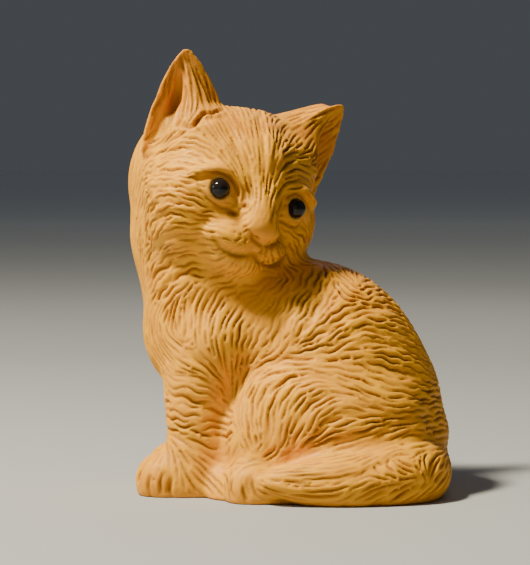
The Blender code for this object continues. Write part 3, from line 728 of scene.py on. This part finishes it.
def calm_share(tree, places):
    """The share of the fur's depth kept at each place: small round the eyes and nose, one elsewhere."""
    share = np.ones(len(places))
    for x, height, radius, keep in CALM:
        found = drawn(tree, [(x, height)])
        if found:
            gap = np.linalg.norm(places - np.array(found[0][0]), axis=1)
            inner, outer = CALM_EDGE
            away = smooth_step(gap, inner * radius, outer * radius)
            share = np.minimum(share, keep + (1 - keep) * away)
    return share


def bead_centres():
    return [(Vector(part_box(node)[0]) + Vector(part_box(node)[1])) / 2 / MM for node in BEAD_NODES]


class Link:
    """A node socket that can be added and multiplied, each time by a Math node of its own."""

    def __init__(self, finish, socket):
        self.finish = finish
        self.socket = socket

    def joined(self, operation, other):
        return self.finish.node("ShaderNodeMath", {"operation": operation}, {0: self, 1: other})

    def __add__(self, other):
        return self.joined("ADD", other)

    def __mul__(self, other):
        return self.joined("MULTIPLY", other)


class Finish:
    """A material being made, with its nodes added one at a time."""

    def __init__(self, name):
        self.material = bpy.data.materials.new(name)
        self.material.use_nodes = True
        self.tree = self.material.node_tree
        self.shader = self.tree.nodes["Principled BSDF"]

    def node(self, kind, settings=None, values=None, output=0):
        node = self.tree.nodes.new(kind)
        for key, value in (settings or {}).items():
            setattr(node, key, value)
        for key, value in (values or {}).items():
            self.feed(node.inputs[key], value)
        return Link(self, node.outputs[output])

    def feed(self, socket, value):
        if isinstance(value, Link):
            self.tree.links.new(value.socket, socket)
        else:
            socket.default_value = value

    def attribute(self, name):
        return self.node("ShaderNodeAttribute", {"attribute_name": name}, output="Fac")

    def places(self):
        return self.node("ShaderNodeTexCoord", output="Object")

    def noise(self, size, detail=3.0, rough=0.55):
        """Noise between 0 and 1 whose blots are about size metres across."""
        values = {"Vector": self.places(), "Scale": 1 / size, "Detail": detail, "Roughness": rough}
        return self.node("ShaderNodeTexNoise", None, values, "Fac")

    def spread(self, value, low, high, to_low=0.0, to_high=1.0):
        """A value read between low and high, clamped and carried to another range."""
        values = {"Value": value, "From Min": low, "From Max": high, "To Min": to_low, "To Max": to_high}
        return self.node("ShaderNodeMapRange", {"clamp": True}, values)

    def mix(self, share, first, second):
        """Two colours mixed by a share."""
        settings = {"data_type": "RGBA", "clamp_factor": True}
        return self.node("ShaderNodeMix", settings, {0: share, 6: first, 7: second}, 2)

    def set(self, **values):
        """Sets or links the shader's own sockets."""
        for key, value in values.items():
            self.feed(self.shader.inputs[key.replace("_", " ")], value)


def rgba(colour):
    return (*colour, 1.0)


def wax_finish(colours):
    """Honey-tan carving with painted shade browning the cuts, a rusty blush, ridges paler from wear and
    painted highlight, and a satin skin.
    """
    finish = Finish("carved_honey_wood")
    groove = finish.attribute("groove")
    ridge = finish.attribute("ridge")
    blush = finish.attribute("blush")
    rim = finish.attribute("rim")
    patches = finish.noise(0.022, 4.0)
    clouds = finish.noise(0.008, 3.0)
    flecks = finish.noise(0.0012, 2.0)
    grain = finish.noise(0.0004, 2.0)
    deep = finish.mix(finish.spread(patches, 0.35, 0.7), rgba(colours.honey), rgba(colours.amber))
    tone = finish.mix(blush * finish.spread(clouds, 0.3, 0.65, 0.45, 1.0), deep, rgba(colours.rust))
    # Ridge tops paler in cream: partly wear, partly painted highlight
    pale = finish.mix(ridge * finish.spread(clouds, 0.35, 0.7, 0.5, 0.95), tone, rgba(colours.cream))
    # Painted shade: the cuts darkened towards umber
    cut_shaded = finish.mix(groove * finish.spread(patches, 0.3, 0.7, 0.95, 0.75), pale, rgba(colours.umber))
    spotted = finish.mix(finish.spread(flecks, 0.66, 0.76, 0.0, 0.35), cut_shaded, rgba(colours.umber))
    colour = finish.mix(rim, spotted, rgba(colours.rim))
    bump = finish.node(
        "ShaderNodeBump", None,
        {"Strength": 0.5, "Distance": 0.0002, "Height": flecks * 0.6 + grain * 0.4}, "Normal")
    finish.set(
        Base_Color=colour,
        Roughness=finish.spread(clouds + groove * 0.35, 0.3, 1.0, 0.44, 0.64),
        Normal=bump,
        Subsurface_Weight=0.08,
        Subsurface_Radius=(0.0015, 0.0006, 0.0002),
        Subsurface_Scale=1.0,
        Specular_IOR_Level=0.18,
        Specular_Tint=(1.0, 0.82, 0.55, 1.0),
        Coat_Weight=finish.spread(clouds, 0.35, 0.7, 0.0, 0.06),
        Coat_Roughness=0.25,
        IOR=1.5,
    )
    return finish.material


def bead_finish(colours):
    """Polished black glass with a faint brown depth and fine smears in its shine."""
    finish = Finish("polished_black_glass")
    clouds = finish.noise(0.0025, 2.0)
    smears = finish.noise(0.0008, 3.0)
    colour = finish.mix(finish.spread(clouds, 0.4, 0.75), rgba(colours.glass), rgba(colours.glass_depth))
    finish.set(
        Base_Color=colour,
        Roughness=finish.spread(smears, 0.35, 0.75, 0.05, 0.12),
        Specular_IOR_Level=0.32,
        IOR=1.5,
    )
    return finish.material


def floor_finish(colours):
    """A plain matt floor, a little uneven near the kitten and painted nearly white far from it, standing
    in for lamplight that does not reach so far.
    """
    finish = Finish("studio_floor")
    clouds = finish.noise(0.4, 2.0)
    tint = [part * 0.97 for part in colours.floor]
    near = finish.mix(finish.spread(clouds, 0.3, 0.7), rgba(colours.floor), rgba(tint))
    # Painted light: the far floor, which the lamps barely reach, is made nearly white
    far = (0.97, 0.97, 0.97, 1.0)
    away = finish.node("ShaderNodeVectorMath", {"operation": "LENGTH"}, {0: finish.places()}, "Value")
    finish.set(Base_Color=finish.mix(finish.spread(away, 0.5, 3.0), near, far), Roughness=0.8)
    return finish.material


def colour_of(name, text, default):
    return FloatVectorProperty(
        name=name, description=text, default=default, subtype="COLOR", size=3, min=0.0, max=1.0)


class KittenSizes(bpy.types.PropertyGroup):
    """Sizes of the carving that a user may change."""

    fur_share: FloatProperty(
        name="Fur Depth", description="Share of the carved fur's own depth",
        default=1.0, min=0.0, max=1.5, subtype="FACTOR")
    grid: FloatProperty(
        name="Carving Grid", description="Distance between the points that the fur is cut on",
        default=0.00042, min=0.0003, max=0.002, unit="LENGTH")
    strand_grid: FloatProperty(
        name="Strand Grid", description="Distance between the points that guide the strands",
        default=0.0012, min=0.0008, max=0.004, unit="LENGTH")
    triangles: IntProperty(
        name="Triangles", description="Most triangles on the finished body",
        default=196000, min=20000, max=199000)
    seed: IntProperty(
        name="Fur Seed", description="Chooses how the strands fork and fade", default=7, min=0)
    bead_play: FloatProperty(
        name="Bead Play", description="Gap between a bead eye and its socket",
        default=0.00003, min=0.0, max=0.0003, unit="LENGTH")


class KittenColours(bpy.types.PropertyGroup):
    """Colours of the wood, the glass and the floor."""

    honey: colour_of("Honey", "Main colour of the carving", (0.83, 0.35, 0.028))
    amber: colour_of("Amber", "Deeper patches of the main colour", (0.75, 0.29, 0.022))
    # Cream stands partly for wear on the strand tops and partly for painted highlight
    cream: colour_of("Cream", "Worn tops of the strands", (0.95, 0.435, 0.006))
    rust: colour_of("Rust", "Blush on the crown and upper back", (0.60, 0.18, 0.030))
    # Umber is painted shade in the cuts, and also the colour of the small dark flecks
    umber: colour_of("Umber", "Bottoms of the cuts", (0.12, 0.05, 0.014))
    # The rim colour is a pale ring laid on the body round each bead eye
    rim: colour_of("Rim", "Pale seating round the bead eyes", (0.80, 0.46, 0.12))
    glass: colour_of("Glass", "Black of the bead eyes", (0.006, 0.006, 0.008))
    glass_depth: colour_of("Glass Depth", "Brown cast inside the bead eyes", (0.02, 0.011, 0.006))
    floor: colour_of("Floor", "Colour of the studio floor", (0.38, 0.375, 0.365))


def strand_sites(body, spacing):
    """A coarse even skin of the body, as places and normals in mm."""
    coarse = body.copy()
    coarse.data = body.data.copy()
    bpy.context.scene.collection.objects.link(coarse)
    apply_modifier(coarse, "REMESH", mode="VOXEL", voxel_size=spacing)
    apply_modifier(coarse, "SMOOTH", factor=0.5, iterations=3)
    places, normals = read_mesh(coarse)
    bpy.data.objects.remove(coarse)
    return places, normals


def seat_beads(places, gap):
    """Draws the socket walls up to the beads so that each sits snug in its rim."""
    moved = places.copy()
    seat = bead_radius() + gap
    # Points nearer a bead's middle than this, in mm, have no clear way out and stay
    least = 0.1
    for centre in bead_centres():
        away = moved - np.array(centre)
        reach = np.linalg.norm(away, axis=1)
        close = (reach > least) & (reach < seat + SOCKET_BAND)
        moved[close] = np.array(centre) + away[close] * (seat / reach[close])[:, None]
    return moved


def bead_radius():
    low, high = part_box(BEAD_NODES[0])
    return (high[2] - low[2]) / 2 / MM


def blush_at(places):
    """Where the rusty tint lies: the crown, the far ear and the upper back."""
    head = in_head(places)
    crown = smooth_step(head[:, 2], 12.0, 22.0) * smooth_step(places[:, 2], 100.0, 108.0)
    far_ear = smooth_step(head[:, 0], 14.0, 20.0) * smooth_step(head[:, 2], 14.0, 20.0)
    back = smooth_step(places[:, 0], 2.0, 14.0) * smooth_step(places[:, 2], 50.0, 62.0)
    back *= 1 - smooth_step(places[:, 2], 75.0, 85.0)
    return np.clip(0.7 * crown + 0.75 * far_ear + 0.7 * back, 0, 1)


def store_looks(body, marks, marked):
    """Puts the groove, ridge, blush and rim shares on the finished body's points."""
    places, _ = read_mesh(body)
    tree = kd_of(marked)
    nearest = np.array([tree.find(p)[1] for p in places])
    for name, values in marks.items():
        store(body, name, values[nearest])
    store(body, "blush", blush_at(places))
    rim = np.zeros(len(places))
    for centre in bead_centres():
        reach = np.linalg.norm(places - np.array(centre), axis=1)
        rim = np.maximum(rim, 1 - smooth_step(reach, *RIM_EDGE))
    store(body, "rim", rim * RIM_STRENGTH)


def fur_at(places, normals, fur, tree, sizes):
    """The fur at each place: its depth in mm, and the shares of groove, painted shade in the cuts, and
    pale ridge tops.
    """
    (strand, wave), agree, cut = fur.read(places, normals)
    bend = cut[:, SWAY] * 2 * math.pi / cut[:, PITCH] * np.sin(wave)
    wander, wander_size = WANDER
    bend += wander * soft_noise(places, wander_size, sizes.seed + 3)
    strands = (0.5 + 0.5 * np.cos(strand + bend)) ** 2
    press, bottom = Cuts(fur, sizes.seed + 4).read(places)
    drift_size, middle, change, least, most = DRIFT
    fade = np.clip(middle + change * soft_noise(places, drift_size, sizes.seed + 2), least, most)
    fade *= calm_share(tree, places) * smooth_step(agree, *AGREEMENT)
    fade *= smooth_step(places[:, 2], *FUR_START) * sizes.fur_share
    depth = cut[:, DEPTH] * FULL_PRESS
    groove = np.maximum(press, FAINT_DEPTH * strands) * fade
    # Painted shade at the bottoms of the cuts, and faintly between them
    painted_cut_shade = np.maximum(bottom, FAINT_SHADE * strands) * fade
    # Pale ridge tops: partly wear, partly painted highlight
    ridge = np.clip(1 - RIDGE_FALL * press, 0, 1) * fade
    return depth, groove, painted_cut_shade, ridge


def cut_details(places, normals, tree, painted_cut_shade):
    """Presses the sharp cuts of the face, ears and paws, and paints shade into them."""
    for radius, depth, lines in DETAILS:
        on_body = [[p for p, _ in drawn(tree, line)] for line in lines]
        on_body = [line for line in on_body if len(line) > 1]
        before = places
        places = gouge(places, normals, on_body, radius, depth)
        pressed = np.linalg.norm(places - before, axis=1) / depth
        # Painted shade in the sharp cuts
        painted_cut_shade = np.maximum(painted_cut_shade, pressed * DETAIL_SHADE)
    return places, painted_cut_shade


class KITTEN_OT_carve_body(bpy.types.Operator):
    """Carve the body's features and comb its fur over the CAD body"""

    bl_idname = "kitten.carve_body"
    bl_label = "Carve Body"
    bl_options = {"REGISTER", "UNDO"}

    def execute(self, context):
        sizes = context.scene.kitten_sizes
        body = copy_of_node(BODY_NODE, "carved_kitten")
        apply_modifier(body, "SUBSURF", levels=2, render_levels=2)
        apply_modifier(body, "REMESH", mode="VOXEL", voxel_size=sizes.grid)
        apply_modifier(body, "SMOOTH", factor=0.5, iterations=4)
        tree = BVHTree.FromObject(body, context.evaluated_depsgraph_get())
        site_places, site_normals = strand_sites(body, sizes.strand_grid)
        way, cut = Comb(tree).at(site_places, site_normals)
        fur = Fur(site_places, site_normals, way, cut, sizes.seed)

        places, normals = read_mesh(body)
        depth, groove, painted_cut_shade, ridge = fur_at(places, normals, fur, tree, sizes)
        moved = places - normals * (depth * groove)[:, None]
        moved, painted_cut_shade = cut_details(moved, normals, tree, painted_cut_shade)
        moved = seat_beads(moved, sizes.bead_play / MM)
        moved = np.clip(moved, places.min(axis=0), places.max(axis=0))
        write_mesh(body, moved)
        count = sum(len(face.vertices) - 2 for face in body.data.polygons)
        apply_modifier(body, "DECIMATE", ratio=min(1.0, sizes.triangles / count))
        # The painted shade in the cuts, kept as the groove share
        groove_share = np.clip(painted_cut_shade * smooth_step(depth, *SHADED_DEPTH), 0, 1)
        store_looks(body, {"groove": groove_share, "ridge": ridge}, moved)
        body.data.shade_smooth()
        body.data.materials.append(wax_finish(context.scene.kitten_colours))
        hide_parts(BODY_NODE)
        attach(body, "root")
        return {"FINISHED"}


class KITTEN_OT_set_eyes(bpy.types.Operator):
    """Set a polished bead in each eye socket"""

    bl_idname = "kitten.set_eyes"
    bl_label = "Set Eyes"
    bl_options = {"REGISTER", "UNDO"}

    def execute(self, context):
        glass = bead_finish(context.scene.kitten_colours)
        radius = bead_radius()
        for node, centre in zip(BEAD_NODES, bead_centres()):
            bpy.ops.object.select_all(action="DESELECT")
            bpy.ops.mesh.primitive_uv_sphere_add(
                segments=64, ring_count=32, radius=radius * MM, location=centre * MM)
            bead = context.object
            bead.name = "glass_" + node
            bead.data.name = bead.name
            bpy.ops.object.transform_apply(location=True, rotation=True, scale=True)
            bpy.ops.object.shade_smooth()
            bead.data.materials.append(glass)
            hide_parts(node)
            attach(bead, "root")
        return {"FINISHED"}


def add_lamp(name, place, size, power, tint):
    """A soft square lamp that looks at the kitten."""
    lamp = bpy.data.lights.new(name, "AREA")
    lamp.shape = "SQUARE"
    lamp.size = size
    lamp.energy = power
    lamp.color = tint
    stand = bpy.data.objects.new(name, lamp)
    stand.location = place
    toward = Vector(AIM) * MM - Vector(place)
    stand.rotation_euler = toward.to_track_quat("-Z", "Y").to_euler()
    bpy.context.scene.collection.objects.link(stand)


class KITTEN_OT_set_stage(bpy.types.Operator):
    """Lay the floor and set the lamps and the camera"""

    bl_idname = "kitten.set_stage"
    bl_label = "Set Stage"
    bl_options = {"REGISTER", "UNDO"}

    def execute(self, context):
        bpy.ops.object.select_all(action="DESELECT")
        bpy.ops.mesh.primitive_circle_add(vertices=96, radius=FLOOR_RADIUS, fill_type="NGON")
        floor = context.object
        floor.name = "studio_floor"
        floor.data.materials.append(floor_finish(context.scene.kitten_colours))

        for lamp in LAMPS:
            add_lamp(*lamp)
        world = bpy.data.worlds.new("studio")
        world.use_nodes = True
        background = world.node_tree.nodes["Background"]
        background.inputs["Color"].default_value = SKY_COLOUR
        background.inputs["Strength"].default_value = SKY_STRENGTH
        context.scene.world = world

        stand, right, up, back, _ = view_axes()
        lens = bpy.data.cameras.new("camera")
        lens.lens = LENS
        lens.sensor_width = SENSOR
        lens.clip_start = 0.01
        lens.clip_end = 50.0
        camera = bpy.data.objects.new("camera", lens)
        turn = Matrix((right, up, back)).transposed().to_4x4()
        camera.matrix_world = Matrix.Translation(stand * MM) @ turn
        context.scene.collection.objects.link(camera)
        context.scene.camera = camera
        return {"FINISHED"}


class KITTEN_PT_panel(bpy.types.Panel):
    """Lists the kitten's operators, sizes and colours"""

    bl_idname = "KITTEN_PT_panel"
    bl_label = "Carved Kitten"
    bl_space_type = "VIEW_3D"
    bl_region_type = "UI"
    bl_category = "Kitten"

    def draw(self, context):
        layout = self.layout
        for operator in (KITTEN_OT_carve_body, KITTEN_OT_set_eyes, KITTEN_OT_set_stage):
            layout.operator(operator.bl_idname)
        for group in (context.scene.kitten_sizes, context.scene.kitten_colours):
            column = layout.column()
            for name in group.__annotations__:
                column.prop(group, name)


CLASSES = (
    KittenSizes,
    KittenColours,
    KITTEN_OT_carve_body,
    KITTEN_OT_set_eyes,
    KITTEN_OT_set_stage,
    KITTEN_PT_panel,
)


def register():
    for cls in CLASSES:
        bpy.utils.register_class(cls)
    bpy.types.Scene.kitten_sizes = PointerProperty(type=KittenSizes)
    bpy.types.Scene.kitten_colours = PointerProperty(type=KittenColours)


def unregister():
    del bpy.types.Scene.kitten_colours
    del bpy.types.Scene.kitten_sizes
    for cls in reversed(CLASSES):
        bpy.utils.unregister_class(cls)


def main():
    register()
    bpy.ops.kitten.carve_body()
    bpy.ops.kitten.set_eyes()
    bpy.ops.kitten.set_stage()


if __name__ == "__main__":
    main()
